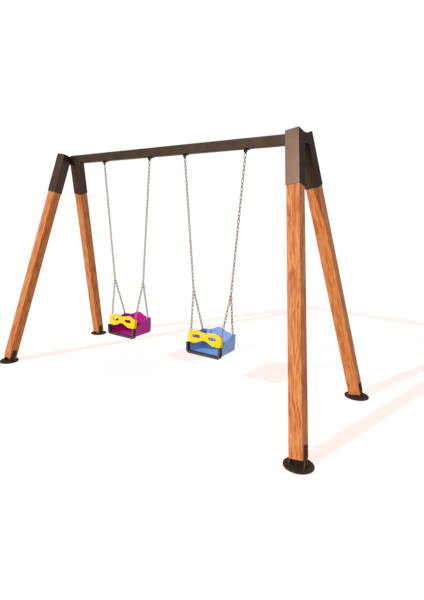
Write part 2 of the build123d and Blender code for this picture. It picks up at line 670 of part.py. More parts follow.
def bumper_top(gap):
    """A cutter whose lower face is parallel to the guard's underside."""
    high = guard_foot_at(BUMPER_FRONT_Y - BUMPER_DEPTH) - gap
    low = guard_foot_at(BUMPER_BACK_Y + BUMPER_DEPTH) - gap
    y0, y1 = BUMPER_FRONT_Y - BUMPER_DEPTH, BUMPER_BACK_Y + BUMPER_DEPTH
    above = high + BUMPER_DEPTH
    outline = Polygon((y0, high), (y1, low), (y1, above), (y0, above), align=None)
    return extrude(Plane.YZ * outline, 2 * SHELL_HALF_WIDTH, both=True)


def core_bar():
    """The steel U inside the bumper; its ends carry the eyes for the front chains."""
    middle = SHELL_HALF_WIDTH - SHELL_WALL / 2
    outer, inner = middle + CORE_BAR_WIDTH / 2, middle - CORE_BAR_WIDTH / 2
    eye = FRONT_HOOK + FRONT_CHAIN * HOOK_SHIFT
    top = eye.Z - 2 * HOOK_HOLE_R
    rim = HOOK_HOLE_R + HOOK_RIM
    profile = u_band(CORE_BAR_WIDTH, top)
    for hand in (-1, 1):
        x = hand * eye.X
        low = top - 2 * CORE_BAR_WIDTH
        near, far = (x - hand * rim, eye.Z), (x + hand * rim, eye.Z)
        root = [(hand * outer, top), (hand * outer, low), (hand * inner, low)]
        profile += Polygon(near, far, *root, align=None)
        profile += Pos(x, eye.Z) * Circle(rim)
        profile -= Pos(x, eye.Z) * Circle(HOOK_HOLE_R)
    return Pos(0, FRONT_HOOK_Y, 0) * extrude(Plane.XZ * profile, CORE_BAR_T / 2, both=True)


def long_edges(body, y):
    """A U's edges in the plane at y, without those of its two ends."""
    ends = body.faces().filter_by(Axis.Z).group_by(Axis.Z)[-1].edges()
    level = body.edges().filter_by(lambda edge: edge.bounding_box().size.Y < 0.01)
    return [edge for edge in level if edge not in ends and abs(edge.center().Y - y) < 0.01]


def bumper():
    """Rubber moulded round the core bar, with a groove that grips the shell's front edge."""
    high = guard_foot_at(BUMPER_FRONT_Y) + BUMPER_ROUND
    body = u_solid(BUMPER_BAR, high, BUMPER_FRONT_Y, BUMPER_BACK_Y)
    body = fillet(long_edges(body, BUMPER_FRONT_Y), BUMPER_ROUND)
    body = fillet(long_edges(body, BUMPER_BACK_Y), BUMPER_LIP_ROUND)
    body -= bumper_top(GUARD_REST_GAP)
    groove = SHELL_WALL + 2 * GROOVE_CLEARANCE
    body -= u_solid(groove, high, BUMPER_BACK_Y - GROOVE_DEPTH, BUMPER_BACK_Y + GROOVE_DEPTH)
    body -= core_bar()
    for place in rivet_places():
        body -= place * Cylinder(RIVET_R, 4 * BUMPER_BAR)
        for sz in (-1, 1):
            body -= place * Pos(0, 0, sz * BUMPER_BAR / 2) * Cylinder(RIVET_HEAD_R, 2 * RIVET_HEAD_T)
    return body


def rivet_places():
    """Rivets through the bumper's lips and the shell, z across the edge."""
    y = BUMPER_BACK_Y - GROOVE_DEPTH / 2
    middle = SHELL_HALF_WIDTH - SHELL_WALL / 2
    base = SHELL_BOTTOM + SHELL_WALL / 2
    rise = base + BUMPER_BELOW_HOOK * 0.4
    under = [Pos(x, y, base) for x in (-middle * 0.6, 0, middle * 0.6)]
    beside = [Pos(hand * middle, y, rise) * Rot(0, 90, 0) for hand in (-1, 1)]
    return under + beside


def bumper_rivet():
    shank = Cylinder(RIVET_R, BUMPER_BAR)
    for sz in (-1, 1):
        shank += Pos(0, 0, sz * (BUMPER_BAR - RIVET_HEAD_T) / 2) * Cylinder(RIVET_HEAD_R, RIVET_HEAD_T)
    return shank


def rear_eye_bolt_places(hand):
    """Bolts through the shell's side into the rear eye plate, z outwards."""
    z = SHELL_BOTTOM + RIM_BACK_RISE - REAR_EYE_BOLT_SPACING * 0.7
    turn = Rot(0, 90 * hand, 0)
    y = REAR_HOOK_Y - REAR_EYE_WIDTH / 3
    return [Pos(hand * SHELL_HALF_WIDTH, y, z - step) * turn for step in (0, REAR_EYE_BOLT_SPACING)]


def rear_eye(hand):
    """Plate on the inside of the shell's side, its eye standing above the rim."""
    eye = REAR_HOOK + REAR_CHAIN * HOOK_SHIFT
    y = REAR_HOOK_Y - REAR_EYE_WIDTH / 3
    half = REAR_EYE_WIDTH / 2
    rim = HOOK_HOLE_R + HOOK_RIM
    low = SHELL_BOTTOM + RIM_BACK_RISE - REAR_EYE_BOLT_SPACING * 2.2
    shoulder = SHELL_BOTTOM + RIM_BACK_RISE
    profile = Polygon((y - half, low), (y + half, low), (y + half, shoulder), (eye.Y + rim, eye.Z),
                      (eye.Y - rim, eye.Z), (y - half, shoulder), align=None)
    profile += Pos(eye.Y, eye.Z) * Circle(rim)
    profile -= Pos(eye.Y, eye.Z) * Circle(HOOK_HOLE_R)
    plate = Pos(hand * REAR_HOOK_X, 0, 0) * extrude(Plane.YZ * profile, REAR_EYE_T / 2, both=True)
    for place in rear_eye_bolt_places(hand):
        plate -= place * Cylinder(REAR_EYE_BOLT_R, 8 * REAR_EYE_T)
    return plate


def rear_eye_bolt():
    length = SHELL_WALL + REAR_EYE_T
    shank = Cylinder(REAR_EYE_BOLT_R, length, align=(Align.CENTER, Align.CENTER, Align.MAX))
    return shank + domed(REAR_EYE_BOLT_HEAD_R, REAR_EYE_BOLT_HEAD_T)


# ---- guard ----
def guard_location():
    """Front face of the guard at its foot, y to the back and z up its tilted face."""
    tilt = radians(GUARD_TILT)
    origin = Vector(0, FRONT_HOOK_Y, GUARD_FOOT_Z) - Vector(0, cos(tilt), -sin(tilt)) * guard_front_reach()
    return Plane(origin=origin, x_dir=(1, 0, 0), z_dir=(0, sin(tilt), cos(tilt))).location


def guard_outline():
    """Two lobes and a waist, like a pair of spectacles."""
    low, high, corner = GUARD_HALF_BOTTOM, GUARD_HALF_TOP, GUARD_CORNER_R
    notch = GUARD_NOTCH_RISE
    crown = [(low - corner, 0), (low * 0.66, 0.5), (low * 0.34, notch * 0.29), (0, notch)]
    brow = [(high - corner, GUARD_END_HEIGHT), (GUARD_LOBE_X, GUARD_LOBE_HEIGHT), (0, GUARD_WAIST_HEIGHT)]
    under = [(-x, z) for x, z in crown] + [(x, z) for x, z in crown[-2::-1]]
    over = brow + [(-x, z) for x, z in brow[-2::-1]]
    with BuildSketch(Plane.XZ) as sketch:
        with BuildLine():
            Spline(*under, tangents=[(1, 0), (1, 0)])
            for hand in (-1, 1):
                foot = (hand * (low - corner), 0)
                knee = (hand * low, corner)
                shoulder = (hand * high, GUARD_END_HEIGHT - corner)
                brow_end = (hand * (high - corner), GUARD_END_HEIGHT)
                TangentArc(foot, knee, tangent=(hand, 0))
                Line(knee, shoulder)
                RadiusArc(shoulder, brow_end, -hand * corner * 1.02)
            Spline(*over)
        make_face()
    return sketch.sketch


def guard_panel():
    """The yellow safety bar: a lobed front with hand slots and a sleeve round each front chain."""
    body = Pos(0, GUARD_DEPTH, 0) * extrude(guard_outline(), GUARD_DEPTH)
    front = body.faces().filter_by(Axis.Y).sort_by(Axis.Y)[0]
    body = fillet(front.outer_wire().edges(), GUARD_EDGE_ROUND)
    slots = Plane.XZ * (Pos(SLOT_X, SLOT_RISE) * SlotOverall(SLOT_LENGTH, SLOT_HEIGHT))
    slots += Plane.XZ * (Pos(-SLOT_X, SLOT_RISE) * SlotOverall(SLOT_LENGTH, SLOT_HEIGHT))
    body -= extrude(slots, 2 * GUARD_DEPTH, both=True)
    body = guard_location() * body
    body -= guard_location() * back_pocket()
    for hand in (-1, 1):
        body -= chain_sleeve(hand)
    return body


def sleeve_centre_shift():
    """Extra width outwards, for the chains draw apart as the guard rises."""
    return GUARD_TRAVEL * abs(FRONT_CHAIN.X) / hypot(FRONT_CHAIN.Y, FRONT_CHAIN.Z)


def chain_sleeve(hand):
    """The hole that a front chain runs through, along the chain."""
    down = Vector(hand * FRONT_CHAIN.X, FRONT_CHAIN.Y, FRONT_CHAIN.Z)
    shift = sleeve_centre_shift()
    width = 2 * (LINK_HALF_WIDTH + SLEEVE_PLAY) + shift
    depth = 2 * (LINK_HALF_WIDTH + SLEEVE_PLAY)
    centre = Vector(hand * (FRONT_HOOK.X + shift / 2), FRONT_HOOK.Y, FRONT_HOOK.Z)
    place = Plane(origin=centre, x_dir=Vector(1, 0, 0) - down * down.X, z_dir=down * -1).location
    hole = Box(width, depth, 6 * GUARD_LOBE_HEIGHT)
    return place * fillet(hole.edges().filter_by(Axis.Z), SLEEVE_CORNER_R)


def back_pocket():
    """What is taken from behind the panel, between the two sleeves."""
    lean = abs(FRONT_CHAIN.X) / abs(FRONT_CHAIN.Z)
    low = FRONT_HOOK_X - LINK_HALF_WIDTH - SLEEVE_PLAY - SLEEVE_WALL
    low -= GUARD_LOBE_HEIGHT * lean
    high = low + 3 * GUARD_LOBE_HEIGHT * lean
    top, bottom = 2 * GUARD_LOBE_HEIGHT, -GUARD_LOBE_HEIGHT
    outline = Polygon((-low, bottom), (low, bottom), (high, top), (-high, top), align=None)
    return Pos(0, GUARD_PANEL_T + 2 * GUARD_DEPTH, 0) * extrude(Plane.XZ * outline, 2 * GUARD_DEPTH)


# ---- write the frame ----
for side_name, side in SIDES.items():
    for row_name, row in ROWS.items():
        corner_name = f"{row_name}_{side_name}"
        place = leg_location(side, row)
        node(f"post_{corner_name}", place * post(side))
        node(f"socket_{corner_name}", place * socket(side))
        disc_place = Pos(side * FOOT_SPAN_X / 2, row * FOOT_SPAN_Y / 2, 0)
        node(f"foot_disc_{corner_name}", disc_place * foot_disc())
        node(f"foot_fork_{corner_name}", foot_fork(side, row))
    node(f"head_block_{side_name}", head_block(side))
    node(f"beam_spigot_{side_name}", beam_spigot(side))

corners = [(side, row) for side in SIDES.values() for row in ROWS.values()]
bolt_rise = Pos(0, 0, POST_FOOT_GAP + FOOT_BOLT_RISE)
screw_seats = [leg_location(s, r) * seat for s, r in corners for seat in socket_screw_seats(s)]
node("socket_screws", *[seat * socket_screw() for seat in screw_seats])
node("foot_bolts", *[leg_location(s, r) * bolt_rise * foot_bolt() for s, r in corners])
node("foot_nuts", *[leg_location(s, r) * bolt_rise * foot_nut() for s, r in corners])
node("top_beam", top_beam())
node("beam_screws", *[place * beam_screw() for place in beam_screw_places()])
node("hanger_screws", *[place * hanger_screw() for place in hanger_screw_places()])
node("pivot_pins", *[Pos(x, 0, PIVOT_Z) * pivot_pin() for x in hanger_places()])
node("pivot_clips", *[Pos(x, 0, PIVOT_Z) * pivot_clip() for x in hanger_places()])

# ---- write the swings ----
for side_name, side in SIDES.items():
    at = Pos(swing_x(side), 0, 0)
    hands = (-1, 1)
    front, rear = ROWS["front"], ROWS["rear"]
    node(f"{side_name}_hangers", *[at * Pos(hand * HANGER_HALF, 0, 0) * hanger() for hand in hands])
    node(f"{side_name}_swing_eyes", *[at * swing_eye(hand) for hand in hands])
    node(f"{side_name}_pivot_bushes", *[at * Pos(*pivot_point(hand)) * pivot_bush() for hand in hands])
    node(f"{side_name}_main_chain_a", *[at * link for link in main_chain(-1)])
    node(f"{side_name}_main_chain_b", *[at * link for link in main_chain(1)])
    node(f"{side_name}_chain_rings", *[at * chain_ring(hand) for hand in hands])
    fronts = [link for hand in hands for link in branch_chain(hand, front, FRONT_CHAIN, FRONT_LINKS)]
    rears = [link for hand in hands for link in branch_chain(hand, rear, REAR_CHAIN, REAR_LINKS)]
    node(f"{side_name}_front_chains", *[at * link for link in fronts])
    node(f"{side_name}_rear_chains", *[at * link for link in rears])
    node(f"{side_name}_seat_shell", at * seat_shell())
    node(f"{side_name}_seat_core_bar", at * core_bar())
    node(f"{side_name}_seat_bumper", at * bumper())
    node(f"{side_name}_bumper_rivets", *[at * place * bumper_rivet() for place in rivet_places()])
    node(f"{side_name}_rear_eyes", *[at * rear_eye(hand) for hand in hands])
    bolts = [place * rear_eye_bolt() for hand in hands for place in rear_eye_bolt_places(hand)]
    node(f"{side_name}_rear_eye_bolts", *[at * bolt for bolt in bolts])
    node(f"{side_name}_guard", at * guard_panel())
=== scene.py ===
"""A double swing frame with two toddler bucket seats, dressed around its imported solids."""

from math import cos, pi, radians, sin, sqrt, tan

import bmesh
import bpy
from bpy.props import FloatProperty, FloatVectorProperty, PointerProperty
from mathutils import Matrix, Vector


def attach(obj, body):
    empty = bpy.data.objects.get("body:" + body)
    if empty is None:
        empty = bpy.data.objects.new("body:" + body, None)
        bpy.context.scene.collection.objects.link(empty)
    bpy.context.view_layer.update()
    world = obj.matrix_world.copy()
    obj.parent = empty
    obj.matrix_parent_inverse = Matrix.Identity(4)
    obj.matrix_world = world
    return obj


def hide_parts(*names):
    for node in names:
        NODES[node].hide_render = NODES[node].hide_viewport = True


bl_info = {
    "name": "Swing Set",
    "version": (1, 0, 0),
    "blender": (4, 5, 0),
    "location": "3D View > Sidebar > Swing Set",
    "description": "Dresses a timber and steel swing frame with two chain-hung bucket seats",
    "category": "Object",
}

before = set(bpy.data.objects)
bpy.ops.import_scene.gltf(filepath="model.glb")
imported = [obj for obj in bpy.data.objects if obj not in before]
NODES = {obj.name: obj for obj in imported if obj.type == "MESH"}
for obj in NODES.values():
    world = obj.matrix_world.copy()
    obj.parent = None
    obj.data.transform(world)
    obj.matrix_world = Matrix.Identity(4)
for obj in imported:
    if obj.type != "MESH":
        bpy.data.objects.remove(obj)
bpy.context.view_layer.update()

MM = 0.001
FLAT = radians(0.5)         # faces that turn less than this become one
SWING_X = {"left": -0.4722, "right": 0.5552}
HANDS = (-1, 1)

# The legs: foot centres, and the way from a foot to where the lines of an end's two legs cross.
FOOT_X = 1.7
FOOT_Y = 0.693
LEG_RUN_X = 0.444
LEG_RISE = 2.568

# Where one front chain hangs, from the middle of its seat. The other one mirrors it in X.
CHAIN_TOP = Vector((0.19936, -0.005, 0.93828))
CHAIN_FOOT = Vector((0.155, -0.114, 0.47412))

# The bucket, between its outer faces.
SHELL_HALF = 0.177
SHELL_FRONT = -0.1108
SHELL_BACK = 0.153
SHELL_FLOOR = 0.38512
SHELL_WALL = 0.007
SHELL_ROUND = 0.025
SHELL_REAR_ROUND = 0.014
SHELL_TOP = 0.22            # of the box that the rim is drawn down from
HEEL_RISE = 0.03            # below it the walls keep their place
CORNER_BLEND = 0.06         # height over which the rear corners tighten
RIM_STEP_Y = -0.0871        # behind the guard, where the side wall steps up
RIM_STEP_RUN = 0.0055
RIM_STEP_RISE = 0.0855
RIM_FRONT_RISE = 0.110
RIM_CLIMB_START = -0.125    # of the long rise towards the back
RIM_CLIMB_RUN = 0.21
HUMP_HALF = 0.150
HUMP_POWER = 1.6            # above 1 it draws the crown in
WALL_COLUMN = 0.0148        # spacing of the mesh's cuts, across the seat
WALL_ROW = 0.0115
WALL_COURSE = 0.027

# The bumper, along the middle of the bucket's front edge.
BUMPER_WIDTH = 0.024
BUMPER_FRONT = -0.147
BUMPER_BACK = -0.104
BUMPER_ROUND = 0.008
BUMPER_TOP = 0.4807         # where the guard rests, at the chain's hook

# The guard, on its own tilted face.
GUARD_ORIGIN = Vector((0, -0.128, 0.48334))
GUARD_TILT = radians(7)
GUARD_DEPTH = 0.038
GUARD_PANEL = 0.015
GUARD_HALF_TOP = 0.185
GUARD_HALF_FOOT = 0.177
GUARD_END = 0.093
GUARD_LOBE = 0.121
GUARD_LOBE_X = 0.097
GUARD_WAIST = 0.105
GUARD_NOTCH = 0.035
GUARD_NOTCH_X = 0.121
GUARD_NOTCH_POWER = 1.35    # above 1 it narrows the notch towards its top
GUARD_COLUMNS = 72
GUARD_CORNER = 0.011
GUARD_END_ROUND = 0.012     # of the front face into the ends
SLOT_LENGTH = 0.080
SLOT_HEIGHT = 0.030
SLOT_X = 0.086
SLOT_RISE = 0.066
SLEEVE_HOLE = (0.0278, 0.0232)
SLEEVE_SHIFT = 0.0023       # the hole's middle lies outside the chain's line at rest
SLEEVE_INNER = 0.1412       # inner face of a sleeve at the guard's foot
SLEEVE_LEAN = 0.0956        # how much further out it is for each metre up

# The stage: a studio floor, the way that the sun lamp shines, and where the view is taken from.
FLOOR_HALF = 30
KEY_SPREAD = radians(1.2)
KEY_DIRECTION = Vector((0.301, 0.827, -0.474))
KEY_TINT = (1.0, 0.97, 0.93)
SKY_TINT = (0.96, 0.98, 1.0, 1)
FLOOR_WHITE = 1.01          # just past white, so that the open floor leaves no grey
VIEW_PLACE = (2.677, -3.381, 1.742)
VIEW_TURN = (radians(90 - 10.95), radians(0.21), radians(37.57))
VIEW_LENS = 26.654
VIEW_SHIFT = (0.0703, -0.0169)


# ---------------------------------------------------------------- settings


def colour_prop(name, description, code):
    """A colour setting that starts from an sRGB hex code."""
    return FloatVectorProperty(
        name=name, description=description, subtype="COLOR", size=3, min=0, max=1, default=linear(code)
    )


def linear(code):
    """Linear red, green and blue of an sRGB hex code."""
    parts = [int(code[i : i + 2], 16) / 255 for i in (0, 2, 4)]
    return tuple(c / 12.92 if c <= 0.04045 else ((c + 0.055) / 1.055) ** 2.4 for c in parts)


class SWINGSET_PG_timber(bpy.types.PropertyGroup):
    """Stained posts."""

    light: colour_prop("Early wood", "Colour of the pale bands between growth rings", "D3874C")
    dark: colour_prop("Late wood", "Colour of the growth rings", "A8592A")
    ring: FloatProperty(
        name="Ring spacing", description="Distance between growth rings", default=0.016, subtype="DISTANCE"
    )


class SWINGSET_PG_steel(bpy.types.PropertyGroup):
    """Painted and plated steel."""

    paint: colour_prop("Powder coat", "Colour of the heads, beam and feet", "4A3B32")
    zinc: colour_prop("Zinc", "Colour of the plated fixings", "A39C94")
    chain: colour_prop("Chain", "Colour of the dull galvanised chain", "9E826E")
    grit: FloatProperty(
        name="Coat texture", description="Size of the coat's orange peel", default=0.002, subtype="DISTANCE"
    )


class SWINGSET_PG_seats(bpy.types.PropertyGroup):
    """Moulded seats."""

    left: colour_prop("Left seat", "Colour of the left bucket", "C20F94")
    right: colour_prop("Right seat", "Colour of the right bucket", "8CB2F2")
    guard: colour_prop("Guards", "Colour of the lift-up guards", "F9D011")
    bumper: colour_prop("Bumpers", "Colour of the rubber bumpers' fronts", "4B3F38")
    painted_shade_tone: colour_prop("Painted shade", "Colour of the bumpers' sides and the hand slots' walls", "1B1715")
    # Painted shade: the near-black tone given to the bumpers' sides and the hand slots' walls, where shade
    # falls.
    rim_rise: FloatProperty(
        name="Rim height", description="Floor to rim at the back corners", default=0.162, subtype="DISTANCE"
    )
    hump_rise: FloatProperty(
        name="Hump height", description="Floor to the crown of the back", default=0.205, subtype="DISTANCE"
    )


class SWINGSET_PG_stage(bpy.types.PropertyGroup):
    """Floor, lamps and camera."""

    floor: colour_prop("Floor", "Colour of the floor", "FFFBF7")
    shadow: colour_prop("Shadow", "Colour of the floor where no light reaches it", "FBE0D2")
    reach: FloatProperty(name="Floor light", description="Light that the open floor returns", default=0.75)
    key: FloatProperty(name="Key lamp", description="Strength of the sun lamp", default=2.4, min=0)
    sky: FloatProperty(name="Sky", description="Strength of the soft light all round", default=0.42, min=0)


# ---------------------------------------------------------------- materials


def node(tree, kind, links=None, values=None, **settings):
    """Add one node, with its settings, its sockets' values and the sockets that feed it."""
    made = tree.nodes.new(kind)
    for key, value in settings.items():
        setattr(made, key, value)
    for key, value in (values or {}).items():
        made.inputs[key].default_value = value
    for key, source in (links or {}).items():
        tree.links.new(source, made.inputs[key])
    return made


def blank(name):
    """A new material and its emptied node tree."""
    material = bpy.data.materials.new(name)
    material.use_nodes = True
    tree = material.node_tree
    tree.nodes.clear()
    return material, tree


SHADER_INPUTS = {
    "metallic": "Metallic",
    "specular": "Specular IOR Level",
    "tint": "Specular Tint",
}


def surface(tree, base, roughness, normal, **values):
    """The closing shader. base and roughness are sockets, and the rest are plain values."""
    links = {"Base Color": base, "Roughness": roughness, "Normal": normal}
    plain = {SHADER_INPUTS[key]: value for key, value in values.items()}
    shader = node(tree, "ShaderNodeBsdfPrincipled", links, plain)
    node(tree, "ShaderNodeOutputMaterial", {"Surface": shader.outputs[0]})


def ramp(tree, source, stops):
    """A colour ramp; each stop is a place and a linear colour or a grey."""
    made = node(tree, "ShaderNodeValToRGB", {"Fac": source})
    elements = made.color_ramp.elements
    while len(elements) < len(stops):
        elements.new(0.5)
    for element, (place, value) in zip(elements, stops):
        element.position = place
        rgb = value if hasattr(value, "__len__") else (value, value, value)
        element.color = (*rgb, 1)
    return made.outputs["Color"]


def shade(colour, factor):
    return tuple(min(1.0, c * factor) for c in colour)


def stained_spruce(name, turn, offset):
    """Stained, planed spruce: soft orange grain in long tongues, with darker late wood and fine fibres."""
    look = bpy.context.scene.swing_timber
    material, tree = blank(name)
    place = node(tree, "ShaderNodeTexCoord").outputs["Object"]
    along = node(
        tree, "ShaderNodeMapping", {"Vector": place}, {"Rotation": turn, "Location": offset}
    ).outputs[0]
    # Rings wander by about 20 mm in half a metre, which draws the tongues on a sawn face.
    drift = node(tree, "ShaderNodeMapping", {"Vector": along}, {"Scale": (5, 5, 1.4)}).outputs[0]
    bend = node(
        tree, "ShaderNodeTexNoise", {"Vector": drift}, {"Scale": 1.0, "Detail": 3.0}
    ).outputs["Color"]
    centred = node(
        tree, "ShaderNodeVectorMath", {0: bend}, {1: (0.5, 0.5, 0.5)}, operation="SUBTRACT"
    ).outputs[0]
    pushed = node(
        tree, "ShaderNodeVectorMath", {0: centred}, {1: (0.11, 0.11, 0.0)}, operation="MULTIPLY"
    ).outputs[0]
    grain = node(tree, "ShaderNodeVectorMath", {0: along, 1: pushed}, operation="ADD").outputs[0]
    flat = node(tree, "ShaderNodeMapping", {"Vector": grain}, {"Scale": (1, 1, 0.02)}).outputs[0]
    rings = node(
        tree,
        "ShaderNodeTexWave",
        {"Vector": flat},
        {"Scale": 0.314 / look.ring, "Distortion": 1.2, "Detail": 2.0, "Detail Scale": 1.5},
        wave_type="RINGS",
        rings_direction="Z",
        wave_profile="SAW",
    ).outputs["Fac"]
    # Fibres are 1 to 2 mm wide and 150 mm long, drawn three times too wide so that they show.
    stretch = node(tree, "ShaderNodeMapping", {"Vector": grain}, {"Scale": (190, 190, 5)}).outputs[0]
    fibre = node(
        tree, "ShaderNodeTexNoise", {"Vector": stretch}, {"Scale": 1.0, "Detail": 4.0}
    ).outputs["Fac"]
    # Stain soaks in unevenly, in soft streaks about 20 mm wide and 130 mm long.
    patchy = node(tree, "ShaderNodeMapping", {"Vector": along}, {"Scale": (44, 44, 7.5)}).outputs[0]
    stain = node(
        tree, "ShaderNodeTexNoise", {"Vector": patchy}, {"Scale": 1.0, "Detail": 5.0, "Roughness": 0.6}
    )
    ring_part = node(
        tree, "ShaderNodeMath", {0: rings}, {1: 0.13}, operation="MULTIPLY"
    ).outputs[0]
    fibre_part = node(
        tree, "ShaderNodeMath", {0: fibre, 2: ring_part}, {1: 0.26}, operation="MULTIPLY_ADD"
    ).outputs[0]
    tone = node(
        tree, "ShaderNodeMath", {0: stain.outputs["Fac"], 2: fibre_part}, {1: 0.75}, operation="MULTIPLY_ADD"
    ).outputs[0]
    base = ramp(
        tree,
        tone,
        [
            (0.38, shade(look.dark, 0.9)),
            (0.49, shade(look.dark, 1.22)),
            (0.62, look.light),
            (0.74, shade(look.light, 1.12)),
            (0.90, shade(look.light, 1.2)),
        ],
    )
    gloss = ramp(tree, tone, [(0.3, 0.62), (0.9, 0.48)])
    bump = node(
        tree, "ShaderNodeBump", {"Height": fibre_part}, {"Strength": 0.35, "Distance": 0.0008}
    ).outputs[0]
    surface(tree, base, gloss, bump, specular=0.2)
    return material


def powder_coat(name, flake, dullness):
    """Polyester powder coat on steel: dark bronze, with mica flake that glows warm in the highlights."""
    look = bpy.context.scene.swing_steel
    material, tree = blank(name)
    place = node(tree, "ShaderNodeTexCoord").outputs["Object"]
    peel = node(tree, "ShaderNodeTexNoise", {"Vector": place}, {"Scale": 0.5 / look.grit, "Detail": 2.0})
    cloud = node(tree, "ShaderNodeTexNoise", {"Vector": place}, {"Scale": 9.0, "Detail": 4.0})
    base = ramp(
        tree,
        cloud.outputs["Fac"],
        [(0.3, shade(look.paint, 0.9)), (0.7, shade(look.paint, 1.1))],
    )
    gloss = ramp(tree, cloud.outputs["Fac"], [(0.3, dullness), (0.7, dullness + 0.05)])
    bump = node(
        tree, "ShaderNodeBump", {"Height": peel.outputs["Fac"]}, {"Strength": 0.22, "Distance": 0.0006}
    ).outputs[0]
    # The flakes lie flat in the coat, so it is bright face on and falls dark towards its edges.
    surface(tree, base, gloss, bump, metallic=flake, specular=0.06, tint=(0.25, 0.18, 0.14, 1.0))
    return material


def zinc_plate():
    """Electroplated zinc on small steel fixings: bright grey with a light haze."""
    look = bpy.context.scene.swing_steel
    material, tree = blank("zinc_plated_steel")
    place = node(tree, "ShaderNodeTexCoord").outputs["Object"]
    haze = node(
        tree, "ShaderNodeTexNoise", {"Vector": place}, {"Scale": 160.0, "Detail": 3.0}
    ).outputs["Fac"]
    base = ramp(tree, haze, [(0.3, shade(look.zinc, 0.82)), (0.7, shade(look.zinc, 1.1))])
    gloss = ramp(tree, haze, [(0.3, 0.28), (0.7, 0.42)])
    bump = node(tree, "ShaderNodeBump", {"Height": haze}, {"Strength": 0.1, "Distance": 0.0003}).outputs[0]
    surface(tree, base, gloss, bump, metallic=1.0)
    return material


def galvanised_chain():
    """Hot-dip galvanised steel after a season outdoors: dull grey-brown spangle, 4 to 8 mm across."""
    look = bpy.context.scene.swing_steel
    material, tree = blank("galvanised_steel")
    place = node(tree, "ShaderNodeTexCoord").outputs["Object"]
    spangle = node(tree, "ShaderNodeTexVoronoi", {"Vector": place}, {"Scale": 170.0}).outputs["Color"]
    grey = node(tree, "ShaderNodeRGBToBW", {"Color": spangle}).outputs[0]
    grime = node(
        tree, "ShaderNodeTexNoise", {"Vector": place}, {"Scale": 45.0, "Detail": 4.0}
    ).outputs["Fac"]
    tone = node(tree, "ShaderNodeMath", {0: grey, 2: grime}, {1: 0.3}, operation="MULTIPLY_ADD").outputs[0]
    base = ramp(
        tree, tone, [(0.35, shade(look.chain, 0.6)), (0.6, look.chain), (0.9, shade(look.chain, 1.35))]
    )
    gloss = ramp(tree, tone, [(0.4, 0.55), (0.85, 0.38)])
    bump = node(tree, "ShaderNodeBump", {"Height": grime}, {"Strength": 0.2, "Distance": 0.0004}).outputs[0]
    surface(tree, base, gloss, bump, metallic=0.75)
    return material


def moulded_plastic(name, colour, roughness=0.42):
    """Moulded polyethylene: even satin colour, a waxy bloom and a faint pebble from the mould."""
    material, tree = blank(name)
    place = node(tree, "ShaderNodeTexCoord").outputs["Object"]
    pebble = node(
        tree, "ShaderNodeTexNoise", {"Vector": place}, {"Scale": 320.0, "Detail": 2.0}
    ).outputs["Fac"]
    bloom = node(
        tree, "ShaderNodeTexNoise", {"Vector": place}, {"Scale": 14.0, "Detail": 3.0}
    ).outputs["Fac"]
    base = ramp(tree, bloom, [(0.3, shade(colour, 0.93)), (0.7, shade(colour, 1.06))])
    gloss = ramp(tree, bloom, [(0.3, roughness - 0.06), (0.7, roughness + 0.06)])
    bump = node(
        tree, "ShaderNodeBump", {"Height": pebble}, {"Strength": 0.16, "Distance": 0.0005}
    ).outputs[0]
    surface(tree, base, gloss, bump, specular=0.3)
    return material


def moulded_rubber(name, colour):
    """Press-moulded black-brown rubber: matt, finely grained, paler where hands and shoes rub it."""
    material, tree = blank(name)
    place = node(tree, "ShaderNodeTexCoord").outputs["Object"]
    grain = node(
        tree, "ShaderNodeTexNoise", {"Vector": place}, {"Scale": 420.0, "Detail": 3.0}
    ).outputs["Fac"]
    worn = node(tree, "ShaderNodeTexNoise", {"Vector": place}, {"Scale": 24.0, "Detail": 4.0}).outputs["Fac"]
    base = ramp(tree, worn, [(0.35, shade(colour, 0.85)), (0.75, shade(colour, 1.3))])
    gloss = ramp(tree, worn, [(0.3, 0.6), (0.8, 0.74)])
    bump = node(tree, "ShaderNodeBump", {"Height": grain}, {"Strength": 0.3, "Distance": 0.0004}).outputs[0]
    surface(tree, base, gloss, bump, specular=0.35)
    return material


def polymer_bush():
    """Self-lubricating acetal bush: black, smooth and slightly glossy from turning."""
    return moulded_plastic("acetal_bush", linear("202022"), 0.35)


# ---------------------------------------------------------------- mesh helpers


def dress(names, material):
    """Give carried-over nodes a finish."""
    for name in names:
        slots = NODES[name].data.materials
        slots.clear()
        slots.append(material)


def finish_piece(name, mesh, materials, body, nodes, round_mm=0.0):
    """Wrap a bmesh up as a piece that stands for its nodes, in one finish or two."""
    data = bpy.data.meshes.new(name)
    mesh.to_mesh(data)
    mesh.free()
    for material in materials:
        data.materials.append(material)
    piece = bpy.data.objects.new(name, data)
    bpy.context.scene.collection.objects.link(piece)
    for face in data.polygons:
        face.use_smooth = True
    if round_mm:
        edge = piece.modifiers.new("edges", "BEVEL")
        edge.limit_method = "ANGLE"
        edge.angle_limit = radians(40)
        edge.width = round_mm * MM
        edge.segments = 3
        edge.harden_normals = False
    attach(piece, body)
    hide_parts(*nodes)
    return piece


def move_to(mesh, matrix):
    bmesh.ops.transform(mesh, matrix=matrix, verts=mesh.verts)


def bevel(mesh, edges, width, steps):
    bmesh.ops.bevel(
        mesh, geom=edges, offset=width, offset_type="OFFSET", segments=steps, profile=0.5,
        affect="EDGES", material=-1, clamp_overlap=True
    )


def box_mesh(low, high):
    """A box between two corners."""
    mesh = bmesh.new()
    bmesh.ops.create_cube(mesh, size=1)
    low, high = Vector(low), Vector(high)
    bmesh.ops.scale(mesh, vec=high - low, verts=mesh.verts)
    bmesh.ops.translate(mesh, vec=(low + high) / 2, verts=mesh.verts)
    return mesh


